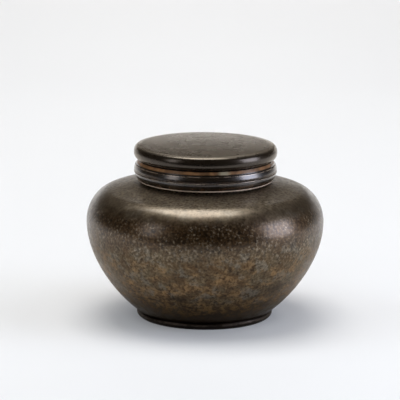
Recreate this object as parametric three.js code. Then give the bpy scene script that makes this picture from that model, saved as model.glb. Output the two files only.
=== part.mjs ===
// A squat pewter tea caddy: a soldered jar with a moulded collar, a lift-off lid and an inner lid.
// Millimetres, +Z up. The origin is on the caddy's axis, on the surface that it stands on.
// Every piece is turned, so each one is an outline of radius and height revolved about Z.
import * as THREE from "three";

const TURN_STEPS = 48;
const CURVE_STEPS = 9;
const ROUND_STEPS = 4;

// Body: two cast halves that meet at the belly
const WALL = 2.2;
const BELLY_RADIUS = 59.2;
const BOWL_HEIGHT = 44.9;
const BOWL_FOOT_RADIUS = 33.4;
const BOWL_FLARE_OUT = 14.5;
const BOWL_FLARE_UP = 11.1;
const BOWL_FULLNESS = 15.7;
const SHOULDER_RISE = 16.4;
const SHOULDER_INSET = 11.2;
const SHOULDER_FULLNESS = 7;
const CREST_TURN = 7.2;
const SHOULDER_SLOPE = THREE.MathUtils.degToRad(12.6);
const TONGUE_HEIGHT = 2;
const TONGUE_WALL = 1;

// Foot and base
const FOOT_HEIGHT = 3.3;
const FOOT_WIDTH = 4;
const FOOT_BEAD = 0.75;
const FOOT_TOE = 0.8;
const FOOT_HEEL = 0.5;
const BASE_THICKNESS = 2.2;
const BASE_FLANGE = 2.4;

// Neck and collar
const NECK_BORE_RADIUS = 29;
const NECK_WALL = 2.4;
const NECK_FILLET = 0.7;
const NECK_REVEAL = 0.35;
const LEDGE_WIDTH = 2;
const COLLAR_WALL = 4.2;
const LIP_WALL = 2.4;
const LIP_EDGE = 0.5;
const TAPER_HEIGHT = 4.05;
const RIDGE_HEIGHT = 0.6;
const RIDGE_PROUD = 0.2;
const BAND_HEIGHT = 3.2;
const BAND_SWELL = 0.4;
const BAND_INSET = 0.5;
const CREASE_WIDTH = 0.5;
const CREASE_HEIGHT = 0.23;
const CHAMFER_HEIGHT = 2.2;
const CHAMFER_WIDTH = 1;

// Lid
const LID_EDGE_HEIGHT = 6.17;
const LID_OVERHANG = 0.25;
const LID_EDGE_SWELL = 2;
const LID_EDGE_UNDERCUT = 1.85;
const LID_EDGE_ROUND = 1.5;
const LID_TOP_ROUND = 0.5;
const LID_BEVEL_WIDTH = 2.6;
const LID_BEVEL_RISE = 0.35;
const LID_CROWN = 0.6;
const LID_PLATE = 2.6;
const LID_GROOVE_HEIGHT = 0.75;
const LID_GROOVE_INSET = 0.4;
const SPIGOT_WALL = 2.5;
const SPIGOT_STANDOFF = 1.8;
const SPIGOT_LEAD = 0.6;

// Inner lid
const INNER_LID_THICKNESS = 1.6;
const INNER_RIM_WALL = 1.9;
const INNER_RIM_DEPTH = 5;
const KNOB_HEIGHT = 9;
const KNOB_RADIUS = 5;
const KNOB_WAIST_RADIUS = 2.6;
const KNOB_FOOT_RADIUS = 4;

// Clearances
const SOLDER_GAP = 0.1;
const LID_CLEARANCE = 0.3;

// Heights stacked from the foot to the mouth
const bellyZ = FOOT_HEIGHT + BOWL_HEIGHT;
const crestZ = bellyZ + SHOULDER_RISE;
const crestRadius = BELLY_RADIUS - SHOULDER_INSET;
const neckRadius = NECK_BORE_RADIUS + NECK_WALL;
const slopeRise = Math.tan(SHOULDER_SLOPE);
const filletStart = neckRadius + NECK_FILLET * (1 - Math.sin(SHOULDER_SLOPE));
const filletStartZ = crestZ + (crestRadius - filletStart) * slopeRise;
const ledgeZ = filletStartZ + NECK_FILLET * Math.cos(SHOULDER_SLOPE);
const lipZ = ledgeZ + NECK_REVEAL;
const ridgeZ = lipZ + TAPER_HEIGHT;
const bandZ = ridgeZ + RIDGE_HEIGHT;
const creaseZ = bandZ + BAND_HEIGHT;
const chamferZ = creaseZ + CREASE_HEIGHT;
const rimZ = chamferZ + CHAMFER_HEIGHT;
const innerLidTop = ledgeZ + INNER_LID_THICKNESS;

// Radii that mating pieces share
const footBore = BOWL_FOOT_RADIUS - FOOT_WIDTH;
const baseOpening = BOWL_FOOT_RADIUS - BASE_FLANGE;
const ledgeRadius = NECK_BORE_RADIUS - LEDGE_WIDTH;
const tongueRadius = BELLY_RADIUS - WALL + TONGUE_WALL;
const collarRadius = neckRadius + COLLAR_WALL;
const collarBore = neckRadius + SOLDER_GAP;
const bandRadius = collarRadius - RIDGE_PROUD;
const chamferRadius = bandRadius - BAND_INSET - CREASE_WIDTH;
const chamferTopRadius = chamferRadius - CHAMFER_WIDTH;
const spigotRadius = NECK_BORE_RADIUS - LID_CLEARANCE;
const spigotBore = spigotRadius - SPIGOT_WALL;

function patinatedPewter(color, roughness, metalness) {
  return new THREE.MeshStandardMaterial({ color, roughness, metalness });
}

// Revolves an outline of (radius, height) points, drawn anticlockwise, about Z.
function turned(name, outline, material) {
  const geometry = new THREE.LatheGeometry(outline, TURN_STEPS);
  geometry.rotateX(Math.PI / 2);
  const mesh = new THREE.Mesh(geometry, material);
  mesh.name = name;
  return mesh;
}

function closed(points) {
  return [...points, points[0].clone()];
}

// The points of a falling line that lie above a height, ending on that height.
function keptAbove(points, height) {
  const kept = points.filter((point) => point.y > height);
  const last = kept[kept.length - 1];
  const next = points[kept.length] ?? new THREE.Vector2(last.x, height);
  kept.push(last.clone().lerp(next, (last.y - height) / (last.y - next.y)));
  return kept;
}

// Points of a wall's inner face: the outer curve moved one wall thickness to its left, from its end to its start.
function innerFace(curve) {
  const points = [];
  for (let step = CURVE_STEPS; step >= 0; step -= 1) {
    const along = step / CURVE_STEPS;
    const outer = curve.getPoint(along);
    const tangent = curve.getTangent(along);
    points.push(new THREE.Vector2(outer.x - WALL * tangent.y, outer.y + WALL * tangent.x));
  }
  return points;
}

const bowlCurve = new THREE.CubicBezierCurve(
  new THREE.Vector2(BOWL_FOOT_RADIUS, FOOT_HEIGHT),
  new THREE.Vector2(BOWL_FOOT_RADIUS + BOWL_FLARE_OUT, FOOT_HEIGHT + BOWL_FLARE_UP),
  new THREE.Vector2(BELLY_RADIUS, bellyZ - BOWL_FULLNESS),
  new THREE.Vector2(BELLY_RADIUS, bellyZ),
);

const shoulderCurve = new THREE.CubicBezierCurve(
  new THREE.Vector2(BELLY_RADIUS, bellyZ),
  new THREE.Vector2(BELLY_RADIUS, bellyZ + SHOULDER_FULLNESS),
  new THREE.Vector2(
    crestRadius + CREST_TURN * Math.cos(SHOULDER_SLOPE),
    crestZ - CREST_TURN * Math.sin(SHOULDER_SLOPE),
  ),
  new THREE.Vector2(crestRadius, crestZ),
);

// A low ring with a rounded bead, narrowing to a flat face that stands on the table.
function footRing() {
  const topRadius = BOWL_FOOT_RADIUS;
  const outline = new THREE.Path();
  outline.moveTo(footBore, FOOT_HEEL);
  outline.lineTo(footBore + FOOT_HEEL, 0);
  outline.lineTo(topRadius - FOOT_TOE, 0);
  outline.bezierCurveTo(
    topRadius + FOOT_BEAD,
    FOOT_TOE,
    topRadius + FOOT_BEAD,
    FOOT_HEIGHT - FOOT_BEAD,
    topRadius,
    FOOT_HEIGHT,
  );
  outline.lineTo(footBore, FOOT_HEIGHT);
  outline.lineTo(footBore, FOOT_HEEL);
  return turned("foot_ring", outline.getPoints(ROUND_STEPS * 2), patinatedPewter(0x2b2520, 0.42, 0.85));
}

// The floor of the jar: a disc let into the bowl, standing on the foot ring's inner shelf.
function basePlate() {
  const radius = baseOpening - SOLDER_GAP;
  const outline = [
    new THREE.Vector2(0, FOOT_HEIGHT),
    new THREE.Vector2(radius, FOOT_HEIGHT),
    new THREE.Vector2(radius, FOOT_HEIGHT + BASE_THICKNESS),
    new THREE.Vector2(0, FOOT_HEIGHT + BASE_THICKNESS),
  ];
  return turned("base_plate", outline, patinatedPewter(0x4a443b, 0.5, 0.85));
}

// The lower half of the body. A tongue round its rim locates the upper half.
function lowerBowl() {
  const flangeTop = FOOT_HEIGHT + BASE_THICKNESS;
  const outline = [
    new THREE.Vector2(baseOpening, FOOT_HEIGHT),
    ...bowlCurve.getPoints(CURVE_STEPS),
    new THREE.Vector2(tongueRadius, bellyZ),
    new THREE.Vector2(tongueRadius, bellyZ + TONGUE_HEIGHT),
    new THREE.Vector2(tongueRadius - TONGUE_WALL, bellyZ + TONGUE_HEIGHT),
    ...keptAbove(innerFace(bowlCurve), flangeTop),
    new THREE.Vector2(baseOpening, flangeTop),
  ];
  return turned("lower_bowl", closed(outline), patinatedPewter(0x4d4434, 0.4, 0.85));
}

// The upper half of the body, up to the root of the neck, with the ledge that the inner lid rests on.
function upperShoulder() {
  const recessTop = bellyZ + TONGUE_HEIGHT + SOLDER_GAP;
  const recessRadius = tongueRadius + SOLDER_GAP;
  const inside = keptAbove(innerFace(shoulderCurve), recessTop);
  const under = inside[0];
  const fillet = new THREE.Path();
  fillet.absarc(neckRadius + NECK_FILLET, ledgeZ, NECK_FILLET, 1.5 * Math.PI - SHOULDER_SLOPE, Math.PI, true);
  const outline = [
    new THREE.Vector2(recessRadius, bellyZ),
    ...shoulderCurve.getPoints(CURVE_STEPS),
    ...fillet.getPoints(ROUND_STEPS),
    new THREE.Vector2(ledgeRadius, ledgeZ),
    new THREE.Vector2(ledgeRadius, under.y + (under.x - ledgeRadius) * slopeRise),
    ...inside,
    new THREE.Vector2(recessRadius, recessTop),
  ];
  return turned("upper_shoulder", closed(outline), patinatedPewter(0x4d4434, 0.38, 0.85));
}

// The mouth: a plain tube standing on the shoulder's ledge.
function neckTube() {
  const outline = [
    new THREE.Vector2(NECK_BORE_RADIUS, ledgeZ),
    new THREE.Vector2(neckRadius, ledgeZ),
    new THREE.Vector2(neckRadius, rimZ),
    new THREE.Vector2(NECK_BORE_RADIUS, rimZ),
  ];
  return turned("neck_tube", closed(outline), patinatedPewter(0x4a4030, 0.42, 0.85));
}

// The moulded ring round the neck: lip, taper, ridge, convex band, crease and chamfer, from the bottom up.
function collarRing() {
  const lipRadius = neckRadius + LIP_WALL;
  const outline = new THREE.Path();
  outline.moveTo(collarBore, lipZ);
  outline.lineTo(lipRadius - LIP_EDGE, lipZ);
  outline.quadraticCurveTo(lipRadius, lipZ, lipRadius, lipZ + LIP_EDGE);
  outline.quadraticCurveTo(bandRadius - RIDGE_PROUD / 2, (lipZ + ridgeZ) / 2, bandRadius, ridgeZ);
  outline.quadraticCurveTo(collarRadius + RIDGE_PROUD, ridgeZ + RIDGE_HEIGHT / 2, bandRadius, bandZ);
  outline.quadraticCurveTo(bandRadius + BAND_SWELL, bandZ + BAND_HEIGHT / 3, bandRadius - BAND_INSET, creaseZ);
  outline.lineTo(chamferRadius, chamferZ);
  outline.lineTo(chamferTopRadius, rimZ);
  outline.lineTo(collarBore, rimZ);
  outline.lineTo(collarBore, lipZ);
  return turned("collar_ring", outline.getPoints(ROUND_STEPS), patinatedPewter(0x2c2620, 0.34, 0.85));
}

// The lid's plate: a bull-nosed disc hollowed underneath, seated on the mouth inside a narrow groove.
function lidDisc() {
  const seatRadius = chamferTopRadius - LID_GROOVE_INSET;
  const lidRadius = collarRadius + LID_OVERHANG;
  const edgeBottom = rimZ + LID_GROOVE_HEIGHT;
  const edgeTop = edgeBottom + LID_EDGE_HEIGHT;
  const topRadius = lidRadius - LID_EDGE_ROUND;
  const bottomRadius = lidRadius - LID_EDGE_UNDERCUT;
  const bevelRadius = topRadius - LID_BEVEL_WIDTH;
  const bevelTop = edgeTop + LID_BEVEL_RISE;
  const crownTop = bevelTop + LID_CROWN;
  const plateUnder = crownTop - LID_PLATE;
  const outline = new THREE.Path();
  outline.moveTo(0, plateUnder);
  outline.lineTo(spigotBore, plateUnder);
  outline.lineTo(spigotBore, rimZ);
  outline.lineTo(seatRadius, rimZ);
  outline.lineTo(seatRadius, edgeBottom);
  outline.lineTo(bottomRadius, edgeBottom);
  outline.bezierCurveTo(
    bottomRadius + LID_EDGE_SWELL,
    edgeBottom,
    topRadius + LID_EDGE_SWELL,
    edgeTop - LID_EDGE_SWELL,
    topRadius + LID_TOP_ROUND,
    edgeTop - LID_TOP_ROUND,
  );
  outline.quadraticCurveTo(topRadius, edgeTop, topRadius - LID_TOP_ROUND, edgeTop);
  outline.lineTo(bevelRadius, bevelTop);
  outline.quadraticCurveTo(bevelRadius / 2, crownTop, 0, crownTop);
  return turned("lid_disc", outline.getPoints(ROUND_STEPS), patinatedPewter(0x4b4436, 0.4, 0.85));
}

// The tube under the lid that slides into the neck's bore.
function lidSpigot() {
  const bottom = innerLidTop + SPIGOT_STANDOFF;
  const outline = [
    new THREE.Vector2(spigotBore, bottom),
    new THREE.Vector2(spigotRadius - SPIGOT_LEAD, bottom),
    new THREE.Vector2(spigotRadius, bottom + SPIGOT_LEAD),
    new THREE.Vector2(spigotRadius, rimZ),
    new THREE.Vector2(spigotBore, rimZ),
  ];
  return turned("lid_spigot", closed(outline), patinatedPewter(0x6a655c, 0.4, 0.9));
}

// The inner lid's disc, resting on the ledge inside the neck.
function innerLidDisc() {
  const radius = NECK_BORE_RADIUS - LID_CLEARANCE;
  const outline = [
    new THREE.Vector2(0, ledgeZ),
    new THREE.Vector2(radius, ledgeZ),
    new THREE.Vector2(radius, innerLidTop),
    new THREE.Vector2(0, innerLidTop),
  ];
  return turned("inner_lid_disc", outline, patinatedPewter(0x6f6a61, 0.38, 0.9));
}

// The ring under the inner lid that centres it in the shoulder's opening.
function innerLidRim() {
  const radius = ledgeRadius - LID_CLEARANCE;
  const bore = radius - INNER_RIM_WALL;
  const bottom = ledgeZ - INNER_RIM_DEPTH;
  const outline = [
    new THREE.Vector2(bore, bottom),
    new THREE.Vector2(radius, bottom),
    new THREE.Vector2(radius, ledgeZ),
    new THREE.Vector2(bore, ledgeZ),
  ];
  return turned("inner_lid_rim", closed(outline), patinatedPewter(0x6f6a61, 0.42, 0.9));
}

// A small turned knob with a spread foot, a waist and a round head, to lift the inner lid by.
function innerLidKnob() {
  const foot = innerLidTop;
  const top = foot + KNOB_HEIGHT;
  const headBottom = top - KNOB_RADIUS;
  const outline = new THREE.Path();
  outline.moveTo(0, foot);
  outline.lineTo(KNOB_FOOT_RADIUS, foot);
  outline.quadraticCurveTo(KNOB_WAIST_RADIUS, foot, KNOB_WAIST_RADIUS, (foot + headBottom) / 2);
  outline.quadraticCurveTo(KNOB_WAIST_RADIUS, headBottom, KNOB_RADIUS, headBottom + KNOB_RADIUS / 2);
  outline.quadraticCurveTo(KNOB_RADIUS, top, 0, top);
  return turned("inner_lid_knob", outline.getPoints(ROUND_STEPS), patinatedPewter(0x6f6a61, 0.36, 0.9));
}

const jar = new THREE.Group();
jar.name = "jar";
jar.add(footRing(), basePlate(), lowerBowl(), upperShoulder(), neckTube(), collarRing());

const outerLid = new THREE.Group();
outerLid.name = "outer_lid";
outerLid.add(lidDisc(), lidSpigot());

const innerLid = new THREE.Group();
innerLid.name = "inner_lid";
innerLid.add(innerLidDisc(), innerLidRim(), innerLidKnob());

const teaCaddy = new THREE.Group();
teaCaddy.name = "tea_caddy";
teaCaddy.add(jar, innerLid, outerLid);

export default teaCaddy;
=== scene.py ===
# A squat, patinated pewter tea caddy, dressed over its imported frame. Metres, +Z up, -Y towards the viewer.
import math

import bmesh
import bpy
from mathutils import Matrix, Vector
from mathutils.geometry import interpolate_bezier


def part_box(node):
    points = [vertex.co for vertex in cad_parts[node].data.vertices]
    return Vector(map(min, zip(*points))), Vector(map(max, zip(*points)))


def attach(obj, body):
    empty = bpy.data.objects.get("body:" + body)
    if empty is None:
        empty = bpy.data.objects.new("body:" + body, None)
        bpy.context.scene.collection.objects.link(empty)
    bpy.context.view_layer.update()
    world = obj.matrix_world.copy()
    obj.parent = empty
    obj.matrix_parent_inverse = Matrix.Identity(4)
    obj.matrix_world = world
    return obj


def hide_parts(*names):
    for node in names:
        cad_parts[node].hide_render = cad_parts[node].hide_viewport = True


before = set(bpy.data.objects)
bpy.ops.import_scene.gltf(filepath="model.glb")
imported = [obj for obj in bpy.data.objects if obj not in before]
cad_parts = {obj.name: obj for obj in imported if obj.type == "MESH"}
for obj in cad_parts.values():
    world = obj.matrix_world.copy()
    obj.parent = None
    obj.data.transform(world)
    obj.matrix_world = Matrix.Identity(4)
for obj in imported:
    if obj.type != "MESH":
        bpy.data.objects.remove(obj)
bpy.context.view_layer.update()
scene = bpy.context.scene
scene.view_settings.view_transform = "Standard"

# Foot ring
# The low ring that the caddy stands on: cast pewter, turned to a rounded bead and soldered under the bowl.
# Painted shade darkens the bowl just above it, with some dark patina in the crease, and hands and tables have
# rubbed the bead a little brighter.
mm = 0.001
turn_steps = 192
corner_steps = 4
sharp_angle = math.radians(35.0)
same_point = 0.001 * mm
crisp_edge = 0.1 * mm
eased_edge = 0.2 * mm
foot_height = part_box("foot_ring")[1].z
bowl_foot_radius = 33.4 * mm
foot_bore_radius = 29.4 * mm
foot_face_radius = 32.6 * mm
foot_face_margin = 0.3 * mm
foot_heel = 0.5 * mm
foot_bead_handle = 0.8 * mm
foot_dark = (0.004, 0.0025, 0.002, 1.0)
foot_brown = (0.012, 0.007, 0.004, 1.0)
foot_rubbed = (0.058, 0.044, 0.034, 1.0)
patina_edge = (1.0, 0.92, 0.82, 1.0)


def bend(start, start_handle, end_handle, end, points=24):
    """The points of one smooth curve of a turned outline, from (radius, height) pairs."""
    knots = [Vector((radius, 0.0, height)) for radius, height in (start, start_handle, end_handle, end)]
    return interpolate_bezier(*knots, points)


def ease(start, corner, end, points=12):
    """The points of a curve that leaves its start towards a corner and comes to its end from there."""
    handles = [((r + 2.0 * corner[0]) / 3.0, (z + 2.0 * corner[1]) / 3.0) for r, z in (start, end)]
    return bend(start, *handles, end, points)


def new_piece(name, shape):
    """The object of a finished shape, shaded smooth and set in the scene."""
    mesh = bpy.data.meshes.new(name)
    shape.to_mesh(mesh)
    shape.free()
    mesh.shade_smooth()
    piece = bpy.data.objects.new(name, mesh)
    scene.collection.objects.link(piece)
    return piece


def turn(name, *stations):
    """Turns an outline about the caddy's axis.

    A station is the list of a curve's points, or a corner: its radius, its height and, where it isn't sharp,
    the size of its rounding.
    """
    shape = bmesh.new()
    chain = []
    corners = {}
    for station in stations:
        if isinstance(station, list):
            joined = bool(chain) and (station[0] - chain[-1].co).length < same_point
            chain += [shape.verts.new(point) for point in station[joined:]]
            continue
        radius, height, *rounding = station
        chain.append(shape.verts.new((radius, 0.0, height)))
        for size in rounding:
            corners.setdefault(size, []).append(chain[-1])
    for first, second in zip(chain, chain[1:]):
        shape.edges.new((first, second))
    if chain[0].co.x > 0.0:
        shape.edges.new((chain[-1], chain[0]))
    for size, verts in corners.items():
        bmesh.ops.bevel(
            shape, geom=verts, offset=size, segments=corner_steps, profile=0.5,
            affect="VERTICES", material=-1,
        )
    bmesh.ops.spin(
        shape, geom=shape.verts[:] + shape.edges[:], cent=(0, 0, 0), axis=(0, 0, 1), dvec=(0, 0, 0),
        angle=2 * math.pi, steps=turn_steps, use_merge=True,
    )
    bmesh.ops.remove_doubles(shape, verts=shape.verts[:], dist=same_point)
    bmesh.ops.recalc_face_normals(shape, faces=shape.faces[:])
    piece = new_piece(name, shape)
    piece.data.set_sharp_from_angle(angle=sharp_angle)
    return piece


def wire(tree, node, sockets):
    """Sets a node's sockets to values, or links them to other nodes' outputs."""
    for key, value in sockets.items():
        if isinstance(value, bpy.types.NodeSocket):
            tree.links.new(value, node.inputs[key])
        else:
            node.inputs[key].default_value = value


def place(tree, kind, sockets=None, **settings):
    """Adds a node with its settings and its sockets."""
    node = tree.nodes.new(kind)
    for key, value in settings.items():
        setattr(node, key, value)
    wire(tree, node, sockets or {})
    return node


def where(tree):
    """The place on the caddy, in the caddy's own frame."""
    return place(tree, "ShaderNodeTexCoord").outputs["Object"]


def height_of(tree, at):
    """The height of a place on the caddy."""
    return place(tree, "ShaderNodeSeparateXYZ", {0: at}).outputs["Z"]


def noise(tree, at, scale, detail, roughness, distortion=0.0):
    """An even noise between 0 and 1 over the surface."""
    settings = {
        "Vector": at, "Scale": scale, "Detail": detail, "Roughness": roughness, "Distortion": distortion,
    }
    return place(tree, "ShaderNodeTexNoise", settings).outputs["Fac"]


def ramp(tree, value, low, high, to_low=0.0, to_high=1.0):
    """A smooth step of a value between two limits."""
    limits = {"Value": value, "From Min": low, "From Max": high, "To Min": to_low, "To Max": to_high}
    return place(tree, "ShaderNodeMapRange", limits, interpolation_type="SMOOTHSTEP").outputs[0]


def calculate(tree, operation, *values):
    """The result of one step of arithmetic."""
    return place(tree, "ShaderNodeMath", dict(enumerate(values)), operation=operation).outputs[0]


def multiply(tree, product, *values):
    """The product of two or more values."""
    for value in values:
        product = calculate(tree, "MULTIPLY", product, value)
    return product


def blend_values(tree, factor, first, second):
    """The value that goes from first to second as factor goes from 0 to 1."""
    node = place(tree, "ShaderNodeMix", {0: factor, 2: first, 3: second}, data_type="FLOAT")
    return node.outputs[0]


def blend_colours(tree, factor, first, second):
    """The colour that goes from first to second as factor goes from 0 to 1."""
    node = place(tree, "ShaderNodeMix", {0: factor, 6: first, 7: second}, data_type="RGBA")
    return node.outputs[2]


def layered(tree, colour, *layers):
    """A ground colour with layers over it, each a mask and a colour, from the lowest to the topmost."""
    for mask, layer in layers:
        colour = blend_colours(tree, mask, colour, layer)
    return colour


def new_group(name, inputs, outputs):
    """An empty node group with named number sockets, and its input and output nodes."""
    group = bpy.data.node_groups.new(name, "ShaderNodeTree")
    for side, labels in (("INPUT", inputs), ("OUTPUT", outputs)):
        for label in labels:
            group.interface.new_socket(label, in_out=side, socket_type="NodeSocketFloat")
    return group, place(group, "NodeGroupInput"), place(group, "NodeGroupOutput")


# The grain of the patina: pale specks, dull round dots, fine light and dark grain, dark pits, blotches a few
# millimetres wide, broad clouds, and the height of its fine orange-peel surface.
speck_scale = 820.0
dot_scale = 400.0
pit_scale = 620.0
blotch_scale = 270.0
cloud_scale = 75.0
pit_depth_share = 0.6
grain_group, grain_in, grain_out = new_group(
    "patina_grain", ["Fineness"], ["Specks", "Dots", "Grain", "Pits", "Blotches", "Clouds", "Height"]
)
grain_place = where(grain_group)


def fine_scale(scale):
    """A scale of the grain, made finer or coarser by the finish that uses it."""
    return multiply(grain_group, grain_in.outputs["Fineness"], scale)


speck_noise = noise(grain_group, grain_place, fine_scale(speck_scale), detail=2.0, roughness=0.5)
dot_distance = place(
    grain_group, "ShaderNodeTexVoronoi", {"Vector": grain_place, "Scale": fine_scale(dot_scale)}
).outputs["Distance"]
pit_noise = noise(grain_group, grain_place, fine_scale(pit_scale), detail=2.0, roughness=0.5)
blotch_noise = noise(
    grain_group, grain_place, fine_scale(blotch_scale), detail=3.0, roughness=0.6, distortion=0.6
)
cloud_noise = noise(grain_group, grain_place, cloud_scale, detail=3.0, roughness=0.6)
wire(grain_group, grain_out, {
    "Specks": ramp(grain_group, speck_noise, 0.55, 0.72),
    "Dots": ramp(grain_group, dot_distance, 0.22, 0.10),
    "Grain": ramp(grain_group, speck_noise, 0.33, 0.67),
    "Pits": ramp(grain_group, pit_noise, 0.46, 0.30),
    "Blotches": ramp(grain_group, blotch_noise, 0.36, 0.66),
    "Clouds": ramp(grain_group, cloud_noise, 0.34, 0.66),
    "Height": calculate(grain_group, "MULTIPLY_ADD", pit_noise, pit_depth_share, speck_noise),
})

# A ring band at one height of a turned piece, broken up so that it comes and goes round the piece. It marks
# wear, and on the lid the painted shade of its crevice.
strip_scale = 190.0
strip_group, strip_in, strip_out = new_group("wear_and_shade_ring", ["Height", "Half Width", "Patchiness"], ["Mask"])
strip_place = where(strip_group)
strip_offset = calculate(strip_group, "SUBTRACT", height_of(strip_group, strip_place), strip_in.outputs["Height"])
strip_distance = calculate(strip_group, "ABSOLUTE", strip_offset)
strip_share = calculate(strip_group, "DIVIDE", strip_distance, strip_in.outputs["Half Width"])
strip_core = ramp(strip_group, strip_share, 1.0, 0.35)
strip_noise = noise(strip_group, strip_place, strip_scale, detail=3.0, roughness=0.65)
strip_patches = ramp(strip_group, strip_noise, 0.40, 0.60)
strip_kept = blend_values(strip_group, strip_in.outputs["Patchiness"], 1.0, strip_patches)
wire(strip_group, strip_out, {"Mask": multiply(strip_group, strip_core, strip_kept)})


def new_finish(name, metallic=0.9, wax=0.0, wax_roughness=0.2, edge_tint=(1.0, 1.0, 1.0, 1.0)):
    """A new material with its Principled shader, waxed where the real surface is."""
    finish = bpy.data.materials.new(name)
    finish.use_nodes = True
    tree = finish.node_tree
    shader = tree.nodes["Principled BSDF"]
    wire(tree, shader, {
        "Metallic": metallic,
        "Specular Tint": edge_tint,
        "Coat Weight": wax,
        "Coat Roughness": wax_roughness,
    })
    return finish, tree, shader


def group_outputs(tree, group, sockets):
    """The outputs of a node group placed in a material with its own values."""
    return place(tree, "ShaderNodeGroup", sockets, node_tree=group).outputs


def wear_and_shade_ring(tree, height, half_width, patchiness):
    """The mask of one ring band on a piece, which marks wear and, on the lid, painted shade."""
    sockets = {"Height": height, "Half Width": half_width, "Patchiness": patchiness}
    return group_outputs(tree, strip_group, sockets)["Mask"]


def relief(tree, shader, height, depth, strength):
    """Gives the shader a fine relief of that depth."""
    bump = place(tree, "ShaderNodeBump", {"Height": height, "Distance": depth, "Strength": strength})
    wire(tree, shader, {"Normal": bump.outputs[0]})


foot_finish, foot_tree, foot_shader = new_finish(
    "foot_patina", wax=0.06, wax_roughness=0.35, edge_tint=patina_edge
)
foot_grain = group_outputs(foot_tree, grain_group, {"Fineness": 1.0})
foot_ground = blend_colours(foot_tree, foot_grain["Clouds"], foot_dark, foot_brown)
foot_rub = wear_and_shade_ring(foot_tree, height=2.2 * mm, half_width=0.8 * mm, patchiness=0.8)
wire(foot_tree, foot_shader, {
    "Base Color": layered(foot_tree, foot_ground, (foot_rub, foot_rubbed)),
    "Roughness": ramp(foot_tree, foot_grain["Clouds"], 0.0, 1.0, 0.44, 0.56),
})
relief(foot_tree, foot_shader, foot_grain["Height"], depth=0.03 * mm, strength=0.3)

foot_ring = turn(
    "foot_ring_turned",
    (foot_bore_radius, foot_heel, eased_edge),
    (foot_bore_radius + foot_heel, 0.0, eased_edge),
    (foot_face_radius - foot_face_margin, 0.0),
    bend(
        (foot_face_radius, 0.0),
        (bowl_foot_radius + foot_bead_handle, foot_bead_handle),
        (bowl_foot_radius + foot_bead_handle, foot_height - foot_bead_handle),
        (bowl_foot_radius, foot_height),
    ),
    (foot_bore_radius, foot_height, crisp_edge),
)
foot_ring.data.materials.append(foot_finish)
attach(foot_ring, "jar")
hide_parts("foot_ring")

# Base plate
# The flat floor of the jar: a disc of plain pewter let into the bowl and soldered on the foot ring's shelf.
# Its underside is dull and bare, with the faint rings that the turning tool left.
base_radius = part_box("base_plate")[1].x
base_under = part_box("base_plate")[0].z
base_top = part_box("base_plate")[1].z
base_ring_spacing = 0.5 * mm
base_grey = (0.125, 0.115, 0.098, 1.0)
base_brown = (0.060, 0.048, 0.035, 1.0)

# Fine rings left by a turning tool round the caddy's axis, and the distance from that axis.
level_plane = (1.0, 1.0, 0.0)
rings_group, rings_in, rings_out = new_group("turning_rings", ["Spacing"], ["Height", "Radius"])
rings_level = place(
    rings_group, "ShaderNodeVectorMath", {0: where(rings_group), 1: level_plane}, operation="MULTIPLY"
).outputs[0]
rings_radius = place(
    rings_group, "ShaderNodeVectorMath", {0: rings_level}, operation="LENGTH"
).outputs["Value"]
rings_count = calculate(rings_group, "DIVIDE", rings_radius, rings_in.outputs["Spacing"])
rings_noise = place(
    rings_group, "ShaderNodeTexNoise", {"W": rings_count, "Scale": 1.0, "Detail": 2.0}, noise_dimensions="1D"
).outputs["Fac"]
wire(rings_group, rings_out, {"Height": rings_noise, "Radius": rings_radius})

base_finish, base_tree, base_shader = new_finish("base_pewter")
base_grain = group_outputs(base_tree, grain_group, {"Fineness": 0.8})
base_rings = group_outputs(base_tree, rings_group, {"Spacing": base_ring_spacing})
wire(base_tree, base_shader, {
    "Base Color": blend_colours(base_tree, base_grain["Clouds"], base_brown, base_grey),
    "Roughness": ramp(base_tree, base_grain["Clouds"], 0.0, 1.0, 0.55, 0.42),
})
relief(base_tree, base_shader, base_rings["Height"], depth=0.04 * mm, strength=0.4)

base_plate = turn(
    "base_plate_turned",
    (0.0, base_under),
    (base_radius, base_under, eased_edge),
    (base_radius, base_top, eased_edge),
    (0.0, base_top),
)
base_plate.data.materials.append(base_finish)
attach(base_plate, "jar")
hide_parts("base_plate")

# Lower bowl
# The lower half of the body, cast in pewter, turned thin and patinated dark olive brown. A tongue round its
# rim locates the upper half, and the soldered seam at the belly is turned away until it can't be seen.
wall = 2.2 * mm
belly_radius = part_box("lower_bowl")[1].x
tongue_height = 2.0 * mm
tongue_wall = 1.0 * mm
belly_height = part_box("lower_bowl")[1].z - tongue_height
tongue_radius = belly_radius - wall + tongue_wall
bowl_flare_out = 14.5 * mm
bowl_flare_up = 11.1 * mm
bowl_fullness = 15.7 * mm
bowl_toe = 0.3 * mm
base_flange_radius = 31.0 * mm
inward_limit = -0.2
body_brown = (0.070, 0.038, 0.015, 1.0)
body_olive = (0.146, 0.110, 0.063, 1.0)
body_grey = (0.165, 0.150, 0.120, 1.0)
body_ochre = (0.275, 0.160, 0.068, 1.0)
body_umber = (0.088, 0.044, 0.012, 1.0)
body_polish = (0.208, 0.172, 0.126, 1.0)
body_pit_and_shade = (0.009, 0.004, 0.001, 1.0)
body_edge = (0.80, 0.75, 0.69, 1.0)
body_speck = (0.350, 0.285, 0.205, 1.0)
body_dot = (0.105, 0.090, 0.070, 1.0)
earth_dark = (0.045, 0.021, 0.005, 1.0)
earth_pale = (0.185, 0.102, 0.030, 1.0)
inside_grey = (0.200, 0.185, 0.160, 1.0)
inside_brown = (0.095, 0.080, 0.060, 1.0)


def inward(points, thickness):
    """The inner face of a wall of that thickness, from the end of its outer curve to its start."""
    inner = []
    for before, point, after in zip(points[:1] + points, points, points[1:] + points[-1:]):
        along = (after - before).normalized()
        inner.append(point + thickness * Vector((-along.z, 0.0, along.x)))
    return inner[::-1]


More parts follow.
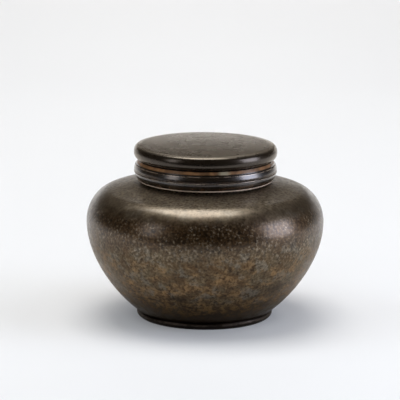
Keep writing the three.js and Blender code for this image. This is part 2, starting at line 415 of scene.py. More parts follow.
def face_the_inside(piece, finish):
    """Gives a second finish to the faces that look towards the caddy's axis."""
    piece.data.materials.append(finish)
    for face in piece.data.polygons:
        outwards = Vector((face.center.x, face.center.y, 0.0)).normalized()
        face.material_index = 1 if face.normal.dot(outwards) < inward_limit else 0


def flattened(tree, at, share):
    """Places that make a pattern lie flat round the caddy, by that share."""
    return place(tree, "ShaderNodeMapping", {"Vector": at, "Scale": (1.0, 1.0, share)}).outputs[0]


body_finish, body_tree, body_shader = new_finish("body_patina", wax_roughness=0.26, edge_tint=body_edge)
body_grain = group_outputs(body_tree, grain_group, {"Fineness": 1.0})
body_place = where(body_tree)
body_height = height_of(body_tree, body_place)

# Ochre patches on the lower half, and grey ones all over.
ochre_noise = noise(body_tree, flattened(body_tree, body_place, 1.8), scale=80.0, detail=5.0, roughness=0.68)
ochre_low = ramp(body_tree, body_height, 5.0 * mm, 15.0 * mm)
ochre_high = ramp(body_tree, body_height, 50.0 * mm, 26.0 * mm)
ochre_zone = multiply(body_tree, ochre_low, ochre_high)
ochre_broken = ramp(body_tree, body_grain["Blotches"], 0.0, 1.0, 0.25, 0.9)
ochre_mask = multiply(body_tree, ramp(body_tree, ochre_noise, 0.45, 0.59), ochre_zone, ochre_broken)
grey_noise = noise(body_tree, body_place, scale=150.0, detail=3.0, roughness=0.55)
grey_mask = ramp(body_tree, grey_noise, 0.52, 0.64, 0.0, 0.5)

# Earth colours and dark streaks low on the bowl, umber above the belly, and a polish up to the neck.
earth_mask = ramp(body_tree, body_height, 22.0 * mm, 10.0 * mm, 0.0, 0.85)
earth_share = ramp(body_tree, body_grain["Blotches"], 0.15, 0.85)
body_earth = blend_colours(body_tree, earth_share, earth_dark, earth_pale)
umber_low = ramp(body_tree, body_height, 42.0 * mm, 50.0 * mm, 0.0, 0.75)
umber_high = ramp(body_tree, body_height, 62.0 * mm, 56.0 * mm)
umber_mask = multiply(body_tree, umber_low, umber_high)
polish_mask = ramp(body_tree, body_height, 55.0 * mm, 65.0 * mm, 0.0, 0.75)
streak_noise = noise(body_tree, flattened(body_tree, body_place, 4.5), scale=75.0, detail=4.0, roughness=0.6)
streak_zone = ramp(body_tree, body_height, 30.0 * mm, 16.0 * mm)
streak_mask = multiply(body_tree, ramp(body_tree, streak_noise, 0.50, 0.64, 0.0, 0.6), streak_zone)

# Pits, grain, specks and dots, the first three fainter in a calm band where the shoulder turns to the light.
calm_low = ramp(body_tree, body_height, 56.0 * mm, 60.0 * mm)
calm_high = ramp(body_tree, body_height, 65.0 * mm, 62.5 * mm)
calm_zone = ramp(body_tree, multiply(body_tree, calm_low, calm_high), 0.0, 1.0, 1.0, 0.4)
pit_mask = multiply(body_tree, body_grain["Pits"], 0.6, calm_zone)
grain_low = ramp(body_tree, body_height, 34.0 * mm, 48.0 * mm, 0.42, 0.58)
grain_high = ramp(body_tree, body_height, 64.0 * mm, 55.0 * mm, 0.9, 1.0)
grain_zone = multiply(body_tree, grain_low, grain_high, calm_zone)
grain_mask = multiply(body_tree, ramp(body_tree, body_grain["Grain"], 0.6, 0.0), grain_zone)
cloud_share = ramp(body_tree, body_grain["Clouds"], 0.0, 0.9, 0.35, 1.0)
speck_low = ramp(body_tree, body_height, 30.0 * mm, 47.0 * mm, 0.10, 0.62)
speck_high = ramp(body_tree, body_height, 64.0 * mm, 56.0 * mm, 0.7, 1.0)
speck_zone = multiply(body_tree, speck_low, speck_high, calm_zone, cloud_share)
speck_mask = multiply(body_tree, body_grain["Specks"], speck_zone)
dot_low = ramp(body_tree, body_height, 28.0 * mm, 42.0 * mm, 0.2, 0.9)
dot_high = ramp(body_tree, body_height, 61.0 * mm, 56.0 * mm, 0.25, 1.0)
dot_zone = multiply(body_tree, dot_low, dot_high, cloud_share)
dot_mask = multiply(body_tree, body_grain["Dots"], dot_zone)
# Painted shade: the bowl darkens towards the foot, standing in for the shadowed floor that it mirrors there,
# with some dark patina in the crease.
foot_shade_mask = ramp(body_tree, body_height, 16.5 * mm, 5.0 * mm)

# The wax is thick on the shoulder and thin on the low bowl, and the dots, the painted shade by the foot and
# the neck's root have little of it. Dust makes the neck's root rougher.
speck_metal = ramp(body_tree, speck_mask, 0.0, 1.0, 0.92, 0.3)
dot_metal = ramp(body_tree, dot_mask, 0.0, 0.9, 1.0, 0.0)
wax_rise = ramp(body_tree, body_height, 36.0 * mm, 54.0 * mm, 0.22, 0.9)
wax_clean = ramp(body_tree, foot_shade_mask, 0.0, 1.0, 1.0, 0.0)
wax_low = ramp(body_tree, body_height, 10.0 * mm, 26.0 * mm, 0.1, 1.0)
wax_high = ramp(body_tree, body_height, 66.0 * mm, 62.5 * mm, 0.3, 1.0)
wax_ends = multiply(body_tree, wax_low, wax_high)
body_rough = ramp(body_tree, body_grain["Blotches"], 0.0, 1.0, 0.32, 0.44)
body_dust = ramp(body_tree, body_height, 62.0 * mm, 66.5 * mm, 0.0, 0.08)
body_tone = blend_values(body_tree, 0.5, body_grain["Blotches"], body_grain["Clouds"])
body_colour = layered(
    body_tree,
    blend_colours(body_tree, body_tone, body_brown, body_olive),
    (ochre_mask, body_ochre),
    (grey_mask, body_grey),
    (earth_mask, body_earth),
    (umber_mask, body_umber),
    (polish_mask, body_polish),
    (streak_mask, body_pit_and_shade),
    (pit_mask, body_pit_and_shade),
    (grain_mask, body_pit_and_shade),
    (speck_mask, body_speck),
    (dot_mask, body_dot),
    # painted shade towards the foot
    (multiply(body_tree, foot_shade_mask, 0.93), body_pit_and_shade),
)
wire(body_tree, body_shader, {
    "Base Color": body_colour,
    "Metallic": multiply(body_tree, speck_metal, dot_metal),
    "Coat Weight": multiply(body_tree, wax_rise, wax_clean, dot_metal, wax_ends),
    "Roughness": calculate(body_tree, "ADD", body_rough, body_dust),
})
relief(body_tree, body_shader, body_grain["Height"], depth=0.05 * mm, strength=0.26)

inside_finish, inside_tree, inside_shader = new_finish("jar_inside")
inside_grain = group_outputs(inside_tree, grain_group, {"Fineness": 0.7})
wire(inside_tree, inside_shader, {
    "Base Color": blend_colours(inside_tree, inside_grain["Clouds"], inside_brown, inside_grey),
    "Roughness": ramp(inside_tree, inside_grain["Clouds"], 0.0, 1.0, 0.5, 0.36),
})
relief(inside_tree, inside_shader, inside_grain["Height"], depth=0.03 * mm, strength=0.3)

bowl_curve = bend(
    (bowl_foot_radius, foot_height),
    (bowl_foot_radius + bowl_flare_out, foot_height + bowl_flare_up),
    (belly_radius, belly_height - bowl_fullness),
    (belly_radius, belly_height),
    points=48,
)
bowl_inside = [point for point in inward(bowl_curve, wall) if point.z > base_top]
lower_bowl = turn(
    "lower_bowl_turned",
    (base_flange_radius, foot_height),
    bowl_curve,
    (tongue_radius, belly_height),
    (tongue_radius, belly_height + tongue_height),
    (belly_radius - wall, belly_height + tongue_height),
    bowl_inside,
    (bowl_inside[-1].x - bowl_toe, base_top),
    (base_flange_radius, base_top, eased_edge),
)
lower_bowl.data.materials.append(body_finish)
face_the_inside(lower_bowl, inside_finish)
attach(lower_bowl, "jar")
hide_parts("lower_bowl")

# Upper shoulder
# The upper half of the body, cast with the root of the neck and the ledge for the inner lid, and soldered on
# the bowl. It has the bowl's patina, whose specks and dots are thickest round the upper belly and thin out
# where the shoulder turns to the light.
shoulder_rise = 16.4 * mm
shoulder_inset = 11.2 * mm
shoulder_fullness = 7.0 * mm
crest_turn = 7.2 * mm
shoulder_slope = math.radians(12.6)
slope_handle = 5.0 * mm
neck_fillet = 0.7 * mm
round_share = 0.55
solder_gap = 0.1 * mm
neck_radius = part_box("neck_tube")[1].x
ledge_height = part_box("upper_shoulder")[1].z
ledge_radius = 27.0 * mm
crest_radius = belly_radius - shoulder_inset
crest_height = belly_height + shoulder_rise
slope_rise = math.tan(shoulder_slope)
fillet_radius = neck_radius + neck_fillet * (1.0 - math.sin(shoulder_slope))
fillet_height = crest_height + (crest_radius - fillet_radius) * slope_rise
fillet_handle = round_share * neck_fillet
crest_handle = (
    crest_radius + crest_turn * math.cos(shoulder_slope),
    crest_height - crest_turn * math.sin(shoulder_slope),
)
shoulder_curve = bend(
    (belly_radius, belly_height),
    (belly_radius, belly_height + shoulder_fullness),
    crest_handle,
    (crest_radius, crest_height),
    points=40,
)
slope_curve = bend(
    (crest_radius, crest_height),
    (crest_radius - slope_handle, crest_height + slope_handle * slope_rise),
    (fillet_radius + slope_handle, fillet_height - slope_handle * slope_rise),
    (fillet_radius, fillet_height),
    points=16,
)
fillet_curve = bend(
    (fillet_radius, fillet_height),
    (fillet_radius - fillet_handle, fillet_height + fillet_handle * slope_rise),
    (neck_radius, ledge_height - fillet_handle),
    (neck_radius, ledge_height),
    points=16,
)
recess_height = belly_height + tongue_height + solder_gap
recess_radius = tongue_radius + solder_gap
shoulder_inside = [point for point in inward(shoulder_curve, wall) if point.z > recess_height]
ledge_under = shoulder_inside[0].z + (shoulder_inside[0].x - ledge_radius) * slope_rise
upper_shoulder = turn(
    "upper_shoulder_turned",
    (recess_radius, belly_height),
    shoulder_curve,
    slope_curve,
    fillet_curve,
    (ledge_radius, ledge_height, eased_edge),
    (ledge_radius, ledge_under, eased_edge),
    shoulder_inside,
    (shoulder_inside[-1].x, recess_height),
    (recess_radius, recess_height),
)
upper_shoulder.data.materials.append(body_finish)
face_the_inside(upper_shoulder, inside_finish)
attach(upper_shoulder, "jar")
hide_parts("upper_shoulder")

# Neck tube
# The mouth of the jar: a short plain tube of pewter, soldered on the ledge and bored true for the lid.
# Outside it is patinated like the body, and inside it is the plain grey metal that the lid slides on.
neck_bore_radius = 29.0 * mm
rim_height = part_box("neck_tube")[1].z
soft_edge = 0.3 * mm
neck_tube = turn(
    "neck_tube_turned",
    (neck_bore_radius, ledge_height),
    (neck_radius, ledge_height),
    (neck_radius, rim_height),
    (neck_bore_radius, rim_height, soft_edge),
)
neck_tube.data.materials.append(body_finish)
face_the_inside(neck_tube, inside_finish)
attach(neck_tube, "jar")
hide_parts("neck_tube")

# Collar ring
# A moulded ring of pewter, sleeved on the neck and soldered: lip, taper, fine ridge, convex band, crease and
# chamfer. Its patina is nearly black, rubbed through to coppery brown on the chamfer and to pale metal along
# the lip, whose pale line is also a painted highlight, with one pale spot of corrosion on the chamfer.
collar_bore_radius = neck_radius + solder_gap
collar_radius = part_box("collar_ring")[1].x
lip_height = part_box("collar_ring")[0].z
lip_wall = 2.4 * mm
lip_radius = neck_radius + lip_wall
lip_edge = 0.5 * mm
taper_height = 4.05 * mm
ridge_thickness = 0.6 * mm
ridge_proud = 0.2 * mm
band_thickness = 3.2 * mm
band_swell = 0.4 * mm
band_inset = 0.5 * mm
crease_width = 0.5 * mm
crease_rise = 0.23 * mm
chamfer_width = 1.0 * mm
ridge_height = lip_height + taper_height
ridge_middle = ridge_height + ridge_thickness / 2.0
band_height = ridge_height + ridge_thickness
crease_height = band_height + band_thickness
chamfer_height = crease_height + crease_rise
chamfer_middle = (chamfer_height + rim_height) / 2.0
band_radius = collar_radius - ridge_proud
chamfer_radius = band_radius - band_inset - crease_width
chamfer_top_radius = chamfer_radius - chamfer_width
spot_size = 3.2 * mm
spot_centre = (9.1 * mm, -32.65 * mm, 78.4 * mm)
collar_wax_ior = 1.9
collar_black = (0.010, 0.005, 0.003, 1.0)
collar_brown = (0.042, 0.024, 0.012, 1.0)
collar_copper = (0.270, 0.130, 0.050, 1.0)
collar_bare_and_highlight = (0.680, 0.540, 0.420, 1.0)
collar_spot = (0.290, 0.250, 0.170, 1.0)


def largest(tree, most, *values):
    """The largest of two or more values."""
    for value in values:
        most = calculate(tree, "MAXIMUM", most, value)
    return most


collar_finish, collar_tree, collar_shader = new_finish(
    "collar_patina", wax_roughness=0.26, edge_tint=patina_edge
)
collar_grain = group_outputs(collar_tree, grain_group, {"Fineness": 1.0})
chamfer_ring = wear_and_shade_ring(collar_tree, chamfer_middle + 0.15 * mm, half_width=1.05 * mm, patchiness=0.38)
# Painted highlight: the worn band along the lip is pale and matt, standing in for the shine of its polished
# edge.
lip_wear_and_highlight = wear_and_shade_ring(collar_tree, lip_height + 0.2 * mm, half_width=0.8 * mm, patchiness=0.15)
rub_ring = wear_and_shade_ring(collar_tree, lip_height + 1.2 * mm, half_width=1.8 * mm, patchiness=1.0)
ridge_wear = wear_and_shade_ring(collar_tree, ridge_middle, half_width=0.25 * mm, patchiness=0.5)
crease_wear = wear_and_shade_ring(collar_tree, crease_height - 0.1 * mm, half_width=0.3 * mm, patchiness=0.6)
ridge_grime = wear_and_shade_ring(collar_tree, band_height + 0.55 * mm, half_width=0.8 * mm, patchiness=0.3)
spot_distance = place(
    collar_tree, "ShaderNodeVectorMath", {0: where(collar_tree), 1: spot_centre}, operation="DISTANCE"
).outputs["Value"]
spot_round = ramp(collar_tree, spot_distance, 1.35 * spot_size, 0.3 * spot_size)
spot_mask = multiply(collar_tree, spot_round, ramp(collar_tree, chamfer_ring, 0.1, 0.5))
chamfer_clouds = ramp(collar_tree, collar_grain["Clouds"], 0.0, 0.8, 0.65, 1.0)
chamfer_wear = multiply(collar_tree, chamfer_ring, chamfer_clouds)
copper_wear = largest(collar_tree, chamfer_wear, multiply(collar_tree, rub_ring, 0.3))
fine_wear = multiply(collar_tree, largest(collar_tree, ridge_wear, crease_wear), 0.4)
bare_wear_and_highlight = largest(collar_tree, fine_wear, lip_wear_and_highlight)
all_wear_and_highlight = largest(collar_tree, bare_wear_and_highlight, copper_wear, spot_mask)
collar_shine = ramp(collar_tree, ridge_grime, 0.0, 1.0, 1.0, 0.15)
collar_kept = ramp(collar_tree, all_wear_and_highlight, 0.0, 1.0, 1.0, 0.0)
collar_colour = layered(
    collar_tree,
    blend_colours(collar_tree, collar_grain["Blotches"], collar_black, collar_brown),
    (copper_wear, collar_copper),
    (bare_wear_and_highlight, collar_bare_and_highlight),
    (spot_mask, collar_spot),
)
wire(collar_tree, collar_shader, {
    "Base Color": collar_colour,
    "Metallic": ramp(collar_tree, all_wear_and_highlight, 0.0, 1.0, 0.9, 0.0),
    "Coat Weight": multiply(collar_tree, collar_shine, collar_kept),
    "Coat IOR": collar_wax_ior,
    "Roughness": ramp(collar_tree, all_wear_and_highlight, 0.0, 1.0, 0.22, 0.55),
})
relief(collar_tree, collar_shader, collar_grain["Height"], depth=0.03 * mm, strength=0.2)

collar_ring = turn(
    "collar_ring_turned",
    (collar_bore_radius, lip_height),
    ease(
        (lip_radius - lip_edge, lip_height),
        (lip_radius, lip_height),
        (lip_radius, lip_height + lip_edge),
    ),
    ease(
        (lip_radius, lip_height + lip_edge),
        (band_radius - ridge_proud / 2.0, (lip_height + ridge_height) / 2.0),
        (band_radius, ridge_height),
        points=20,
    ),
    ease(
        (band_radius, ridge_height),
        (collar_radius + ridge_proud, ridge_middle),
        (band_radius, band_height),
    ),
    ease(
        (band_radius, band_height),
        (band_radius + band_swell, band_height + band_thickness / 3.0),
        (band_radius - band_inset, crease_height),
        points=20,
    ),
    (chamfer_radius, chamfer_height, crisp_edge),
    (chamfer_top_radius, rim_height, soft_edge),
    (collar_bore_radius, rim_height),
)
collar_ring.data.materials.append(collar_finish)
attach(collar_ring, "jar")
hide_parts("collar_ring")

# Inner lid disc
# A thin loose lid of grey pewter that rests on the ledge inside the neck and keeps the tea dry.
# It lives in the dark under the outer lid, so it is only lightly tarnished and keeps its turning rings.
inner_lid_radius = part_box("inner_lid_disc")[1].x
inner_lid_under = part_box("inner_lid_disc")[0].z
inner_lid_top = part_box("inner_lid_disc")[1].z
round_edge = 0.4 * mm
pewter_ring_spacing = 0.4 * mm
pewter_grey = (0.360, 0.345, 0.315, 1.0)
pewter_tarnish = (0.190, 0.170, 0.140, 1.0)

pewter_finish, pewter_tree, pewter_shader = new_finish("inner_pewter", metallic=0.95)
pewter_grain = group_outputs(pewter_tree, grain_group, {"Fineness": 0.8})
pewter_rings = group_outputs(pewter_tree, rings_group, {"Spacing": pewter_ring_spacing})
pewter_ground = blend_colours(pewter_tree, pewter_grain["Clouds"], pewter_tarnish, pewter_grey)
pewter_pits = multiply(pewter_tree, pewter_grain["Pits"], 0.5)
wire(pewter_tree, pewter_shader, {
    "Base Color": layered(pewter_tree, pewter_ground, (pewter_pits, pewter_tarnish)),
    "Roughness": ramp(pewter_tree, pewter_grain["Clouds"], 0.0, 1.0, 0.46, 0.32),
})
relief(pewter_tree, pewter_shader, pewter_rings["Height"], depth=0.03 * mm, strength=0.4)

inner_lid_disc = turn(
    "inner_lid_disc_turned",
    (0.0, inner_lid_under),
    (inner_lid_radius, inner_lid_under, soft_edge),
    (inner_lid_radius, inner_lid_top, round_edge),
    (0.0, inner_lid_top),
)
inner_lid_disc.data.materials.append(pewter_finish)
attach(inner_lid_disc, "inner_lid")
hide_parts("inner_lid_disc")

# Inner lid rim
# A short ring of pewter soldered under the inner lid, which centres it in the shoulder's opening.
# Its lower edge is eased so that it finds the opening.
inner_rim_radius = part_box("inner_lid_rim")[1].x
inner_rim_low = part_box("inner_lid_rim")[0].z
inner_rim_wall = 1.9 * mm
inner_rim_lead = 0.6 * mm
inner_lid_rim = turn(
    "inner_lid_rim_turned",
    (inner_rim_radius - inner_rim_wall, inner_rim_low, round_edge),
    (inner_rim_radius, inner_rim_low, inner_rim_lead),
    (inner_rim_radius, inner_lid_under),
    (inner_rim_radius - inner_rim_wall, inner_lid_under),
)
inner_lid_rim.data.materials.append(pewter_finish)
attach(inner_lid_rim, "inner_lid")
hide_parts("inner_lid_rim")

# Inner lid knob
# A small turned knob of pewter soldered in the middle of the inner lid, to lift it by.
# It has a spread foot, a narrow waist and a round head.
knob_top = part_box("inner_lid_knob")[1].z
knob_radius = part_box("inner_lid_knob")[1].x
knob_waist_radius = 2.6 * mm
knob_foot_radius = 4.0 * mm
knob_foot_inset = 0.2 * mm
knob_foot_rise = 0.25 * mm
knob_foot_handle = 0.4 * mm
knob_stem_handle = 1.0 * mm
knob_waist_length = 0.2 * mm
knob_side_length = 0.1 * mm
knob_crown_handle = 0.6 * mm
knob_head_low = knob_top - knob_radius
knob_head_middle = knob_head_low + knob_radius / 2.0
knob_waist_height = (inner_lid_top + knob_head_low) / 2.0
inner_lid_knob = turn(
    "inner_lid_knob_turned",
    (0.0, inner_lid_top),
    (knob_foot_radius, inner_lid_top, crisp_edge),
    bend(
        (knob_foot_radius - knob_foot_inset, inner_lid_top + knob_foot_rise),
        (knob_waist_radius, inner_lid_top + knob_foot_handle),
        (knob_waist_radius, inner_lid_top + knob_stem_handle),
        (knob_waist_radius, knob_waist_height),
        points=12,
    ),
    bend(
        (knob_waist_radius, knob_waist_height + knob_waist_length),
        (knob_waist_radius, knob_head_low),
        (knob_radius, knob_head_low),
        (knob_radius, knob_head_middle),
        points=16,
    ),
    bend(
        (knob_radius, knob_head_middle + knob_side_length),
        (knob_radius, knob_top - knob_crown_handle),
        (knob_radius * round_share, knob_top),
        (0.0, knob_top),
        points=20,
    ),
)
inner_lid_knob.data.materials.append(pewter_finish)
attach(inner_lid_knob, "inner_lid")
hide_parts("inner_lid_knob")

# Lid spigot
# The tube soldered under the lid that slides in the neck's bore and keeps the lid tight.
# It is bare grey pewter, rubbed smooth, with a chamfer that leads it into the neck.
spigot_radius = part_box("lid_spigot")[1].x
spigot_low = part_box("lid_spigot")[0].z
spigot_wall = 2.5 * mm
spigot_lead = 0.6 * mm
spigot_lead_edge = 0.15 * mm
spigot_bore_radius = spigot_radius - spigot_wall
lid_spigot = turn(
    "lid_spigot_turned",
    (spigot_bore_radius, spigot_low, soft_edge),
    (spigot_radius - spigot_lead, spigot_low, spigot_lead_edge),
    (spigot_radius, spigot_low + spigot_lead, spigot_lead_edge),
    (spigot_radius, rim_height),
    (spigot_bore_radius, rim_height),
)
lid_spigot.data.materials.append(pewter_finish)
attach(lid_spigot, "outer_lid")
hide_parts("lid_spigot")

# Lid disc
# The thick outer lid: a cast and turned pewter plate with a bull-nosed edge, hollowed underneath to save
# weight. Its gently crowned top is smoother than the body, with a dark ring inside the soft bevel and a faint
# polish along the top edge.
lid_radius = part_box("lid_disc")[1].x
lid_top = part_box("lid_disc")[1].z
lid_groove_height = 0.75 * mm
lid_groove_inset = 0.4 * mm
lid_edge_height = 6.17 * mm
lid_edge_swell = 2.0 * mm
lid_edge_undercut = 1.85 * mm
lid_edge_round = 1.5 * mm
lid_top_round = 0.5 * mm
lid_bevel_width = 2.6 * mm
lid_bevel_rise = 0.35 * mm
lid_plate = 2.6 * mm
lid_ring_spacing = 0.6 * mm
lid_seat_radius = chamfer_top_radius - lid_groove_inset
lid_edge_low = rim_height + lid_groove_height
lid_edge_top = lid_edge_low + lid_edge_height
lid_top_radius = lid_radius - lid_edge_round
lid_low_radius = lid_radius - lid_edge_undercut
lid_bevel_radius = lid_top_radius - lid_bevel_width
lid_bevel_top = lid_edge_top + lid_bevel_rise
lid_under = lid_top - lid_plate
lid_deep = (0.017, 0.010, 0.004, 1.0)
lid_olive = (0.056, 0.040, 0.021, 1.0)
lid_speck = (0.210, 0.185, 0.145, 1.0)
lid_polish = (0.285, 0.255, 0.215, 1.0)
lid_side = (0.026, 0.016, 0.009, 1.0)
lid_crevice_shade = (0.004, 0.002, 0.001, 1.0)
lid_edge_tint = (1.0, 0.895, 0.76, 1.0)

lid_finish, lid_tree, lid_shader = new_finish("lid_patina", edge_tint=lid_edge_tint)
lid_grain = group_outputs(lid_tree, grain_group, {"Fineness": 1.1})
lid_from_axis = group_outputs(lid_tree, rings_group, {"Spacing": lid_ring_spacing})["Radius"]
lid_height = height_of(lid_tree, where(lid_tree))
ring_inner = ramp(lid_tree, lid_from_axis, lid_bevel_radius - 1.6 * mm, lid_bevel_radius - 0.5 * mm)
ring_outer = ramp(lid_tree, lid_from_axis, lid_bevel_radius + 0.3 * mm, lid_bevel_radius - 0.2 * mm)
ring_mask = multiply(lid_tree, ring_inner, ring_outer, 0.75)
rub_mask = ramp(lid_tree, lid_from_axis, lid_bevel_radius, lid_bevel_radius + 0.8 * mm, 0.0, 0.35)
side_mask = ramp(lid_tree, lid_height, lid_edge_top - 0.2 * mm, lid_edge_top - 0.9 * mm, 0.0, 0.8)
edge_inner = ramp(lid_tree, lid_from_axis, lid_top_radius - 0.7 * mm, lid_top_radius)
edge_upper = ramp(lid_tree, lid_height, lid_edge_top - 0.7 * mm, lid_edge_top - 0.3 * mm, 0.0, 0.1)
# Painted shade: a near-black ring low on the lid's edge, where it meets the collar, for the shadow in the
# gap.
crevice_shade_mask = wear_and_shade_ring(lid_tree, rim_height + 0.15 * mm, half_width=0.8 * mm, patchiness=0.0)
lid_wax = ramp(lid_tree, side_mask, 0.0, 0.8, 0.3, 0.5)
lid_clean = ramp(lid_tree, crevice_shade_mask, 0.0, 1.0, 1.0, 0.0)
lid_colour = layered(
    lid_tree,
    blend_colours(lid_tree, lid_grain["Clouds"], lid_deep, lid_olive),
    (multiply(lid_tree, lid_grain["Specks"], 0.2), lid_speck),
    (multiply(lid_tree, lid_grain["Pits"], 0.4), lid_side),
    (ring_mask, lid_side),
    (rub_mask, lid_polish),
    (side_mask, lid_side),
    (multiply(lid_tree, edge_inner, edge_upper), lid_polish),
    (crevice_shade_mask, lid_crevice_shade),
)
wire(lid_tree, lid_shader, {
    "Base Color": lid_colour,
    "Coat Weight": multiply(lid_tree, lid_wax, lid_clean),
    "Roughness": ramp(lid_tree, lid_grain["Clouds"], 0.0, 1.0, 0.26, 0.29),
})

lid_disc = turn(
    "lid_disc_turned",
    (0.0, lid_under),
    (spigot_bore_radius, lid_under, round_edge),
    (spigot_bore_radius, rim_height),
    (lid_seat_radius, rim_height, crisp_edge),
    (lid_seat_radius, lid_edge_low, eased_edge),
    bend(
        (lid_low_radius, lid_edge_low),
        (lid_low_radius + lid_edge_swell, lid_edge_low),
        (lid_top_radius + lid_edge_swell, lid_edge_top - lid_edge_swell),
        (lid_top_radius + lid_top_round, lid_edge_top - lid_top_round),
        points=40,
    ),
    ease(
        (lid_top_radius + lid_top_round, lid_edge_top - lid_top_round),
        (lid_top_radius, lid_edge_top),
        (lid_top_radius - lid_top_round, lid_edge_top),
    ),
    ease(
        (lid_top_radius - lid_top_round, lid_edge_top),
        (lid_bevel_radius + lid_bevel_width / 3.0, lid_bevel_top - lid_bevel_rise / 4.0),
        (lid_bevel_radius, lid_bevel_top),
    ),
    ease(
        (lid_bevel_radius, lid_bevel_top),
        (lid_bevel_radius / 2.0, lid_top),
        (0.0, lid_top),
        points=32,
    ),
)
lid_disc.data.materials.append(lid_finish)
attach(lid_disc, "outer_lid")
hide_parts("lid_disc")

# Table and backdrop
# A sweep of matt white paper: it lies flat under the caddy, curves up well behind it and ends in a low
# backdrop. It is not part of the object. A faint bluish glow, which only the camera and the
# reflections see, evens out its white.
sweep_half_width = 3.0
sweep_front = -3.0
sweep_bend_start = 2.0
sweep_back = 2.4
sweep_top = 0.51
matt_roughness = 0.9
paper_specular = 0.1
paper_white = (0.81, 0.81, 0.81, 1.0)
paper_glow = (0.86, 0.885, 0.95, 1.0)
paper_glow_share = 0.11
sweep_bend = interpolate_bezier(
    Vector((-sweep_half_width, sweep_bend_start, 0.0)),
    Vector((-sweep_half_width, sweep_back, 0.0)),
    Vector((-sweep_half_width, sweep_back, 0.0)),
    Vector((-sweep_half_width, sweep_back, sweep_back - sweep_bend_start)),
    16,
)
sweep_line = [
    Vector((-sweep_half_width, sweep_front, 0.0)),
    *sweep_bend,
    Vector((-sweep_half_width, sweep_back, sweep_top)),
]
sweep_shape = bmesh.new()
sweep_verts = [sweep_shape.verts.new(point) for point in sweep_line]
sweep_edges = [sweep_shape.edges.new(pair) for pair in zip(sweep_verts, sweep_verts[1:])]
sweep_side = bmesh.ops.extrude_edge_only(sweep_shape, edges=sweep_edges)["geom"]
sweep_moved = [item for item in sweep_side if isinstance(item, bmesh.types.BMVert)]
bmesh.ops.translate(sweep_shape, verts=sweep_moved, vec=(2.0 * sweep_half_width, 0.0, 0.0))
bmesh.ops.recalc_face_normals(sweep_shape, faces=sweep_shape.faces[:])
paper_sweep = new_piece("paper_sweep", sweep_shape)

paper_finish, paper_tree, paper_shader = new_finish("matt_paper", metallic=0.0)
wire(paper_tree, paper_shader, {
    "Base Color": paper_white,
    "Roughness": matt_roughness,
    "Specular IOR Level": paper_specular,
})
paper_light = place(paper_tree, "ShaderNodeEmission", {"Color": paper_glow})
paper_path = place(paper_tree, "ShaderNodeLightPath").outputs
paper_rays = [paper_path[ray] for ray in ("Is Camera Ray", "Is Glossy Ray", "Is Transmission Ray")]
paper_seen = multiply(paper_tree, largest(paper_tree, *paper_rays), paper_glow_share)
paper_mix = place(
    paper_tree, "ShaderNodeMixShader",
    {0: paper_seen, 1: paper_shader.outputs[0], 2: paper_light.outputs[0]},
)
wire(paper_tree, paper_tree.nodes["Material Output"], {"Surface": paper_mix.outputs[0]})
paper_sweep.data.materials.append(paper_finish)

# Black flag
# A sheet of black card lying in front of the caddy, below the picture, as a photographer places one to darken
# the reflections on the near side. The camera doesn't see it, and neither does the light on the paper.
flag_near = -0.205
flag_far = -2.6
flag_half_width = 2.0
flag_height = 0.002
card_black = (0.01, 0.01, 0.01, 1.0)
flag_outline = (
    (-flag_half_width, flag_far),
    (flag_half_width, flag_far),
    (flag_half_width, flag_near),
    (-flag_half_width, flag_near),
)
flag_shape = bmesh.new()
flag_shape.faces.new([flag_shape.verts.new((x, y, flag_height)) for x, y in flag_outline])
black_flag = new_piece("black_flag", flag_shape)
black_flag.visible_camera = False
black_flag.visible_diffuse = False
black_flag.visible_shadow = False
card_finish, card_tree, card_shader = new_finish("black_card", metallic=0.0)
wire(card_tree, card_shader, {"Base Color": card_black, "Roughness": matt_roughness})
black_flag.data.materials.append(card_finish)

# Studio light
# A big soft box over the caddy, a strong one low at its right, weak ones at its left and far behind it, and
# one on the backdrop. Two side fills, a front fill and a small box over the floor soften the shadow and don't
# show in reflections. The room is dim and brown.
room_brown = (0.056, 0.042, 0.028, 1.0)
plain_white = (1.0, 1.0, 1.0)
warm_white = (1.0, 0.985, 0.955)
right_blue = (0.755, 0.815, 1.0)
left_blue = (0.93, 0.95, 1.0)
fill_blue = (0.86, 0.93, 1.0)
caddy_middle = (0.0, 0.0, 0.07)
caddy_foot = (0.0, 0.0, 0.0)


def soft_box(name, at, towards, width, height, power, colour, mirrored=True):
    """A rectangular soft box that shines at a point. One that isn't mirrored doesn't show in reflections."""
    lamp = bpy.data.lights.new(name, "AREA")
    lamp.shape = "RECTANGLE"
    lamp.size = width
    lamp.size_y = height
    lamp.energy = power
    lamp.color = colour
    holder = bpy.data.objects.new(name, lamp)
    holder.location = at
    holder.rotation_euler = (Vector(towards) - Vector(at)).to_track_quat("-Z", "Y").to_euler()
    holder.visible_camera = False
    holder.visible_glossy = mirrored
    scene.collection.objects.link(holder)


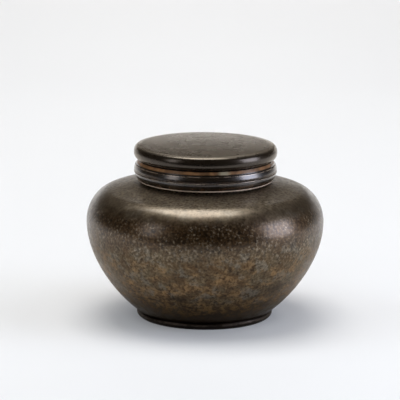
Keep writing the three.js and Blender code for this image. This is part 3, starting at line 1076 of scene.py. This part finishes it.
soft_box(
    "top_box", at=(-0.08, 0.18, 1.25), towards=(0.0, 0.0, 0.05),
    width=0.78, height=0.90, power=11.0, colour=warm_white,
)
soft_box(
    "back_box", at=(0.0, 2.1, 1.35), towards=(0.0, 0.0, 0.08),
    width=0.9, height=0.50, power=1.3, colour=plain_white,
)
soft_box(
    "right_box", at=(0.93, -0.23, 0.30), towards=caddy_middle,
    width=0.50, height=0.56, power=5.2, colour=right_blue,
)
soft_box(
    "left_box", at=(-0.78, -0.56, 0.40), towards=caddy_middle,
    width=0.28, height=0.56, power=0.95, colour=left_blue,
)
for fill_name, fill_x in (("left_fill", -0.95), ("right_fill", 0.95)):
    soft_box(
        fill_name, at=(fill_x, 0.12, 1.0), towards=caddy_foot,
        width=0.8, height=0.8, power=4.3, colour=fill_blue, mirrored=False,
    )
soft_box(
    "backdrop_box", at=(0.0, 1.5, 1.0), towards=(0.0, 2.3, 0.35),
    width=2.6, height=0.35, power=27.0, colour=plain_white,
)
soft_box(
    "front_fill", at=(0.0, -1.15, 0.95), towards=caddy_foot,
    width=0.9, height=0.7, power=4.0, colour=fill_blue, mirrored=False,
)
soft_box(
    "floor_box", at=(0.0, 0.78, 0.5), towards=(0.0, 0.78, 0.0),
    width=0.4, height=0.3, power=0.9, colour=plain_white, mirrored=False,
)
room = bpy.data.worlds.new("room")
room.use_nodes = True
wire(room.node_tree, room.node_tree.nodes["Background"], {"Color": room_brown})
scene.world = room

# Camera
# A long lens at the photograph's distance and height, tilted down at the caddy and rolled by a hair, so that
# the caddy stands in the picture as it does in the photograph.
picture_pixels = 400
focal_pixels = 2870.0
sensor_width = 36.0
camera_distance = 1.400
camera_height = 0.360
camera_left = 0.0026
camera_tilt = math.radians(12.16)
camera_roll = math.radians(0.4)
lens = bpy.data.cameras.new("camera")
lens.sensor_width = sensor_width
lens.lens = sensor_width * focal_pixels / picture_pixels
camera = bpy.data.objects.new("camera", lens)
camera.location = (-camera_left, -camera_distance, camera_height)
camera.rotation_mode = "ZYX"
camera.rotation_euler = (math.pi / 2.0 - camera_tilt, 0.0, camera_roll)
scene.collection.objects.link(camera)
scene.camera = camera
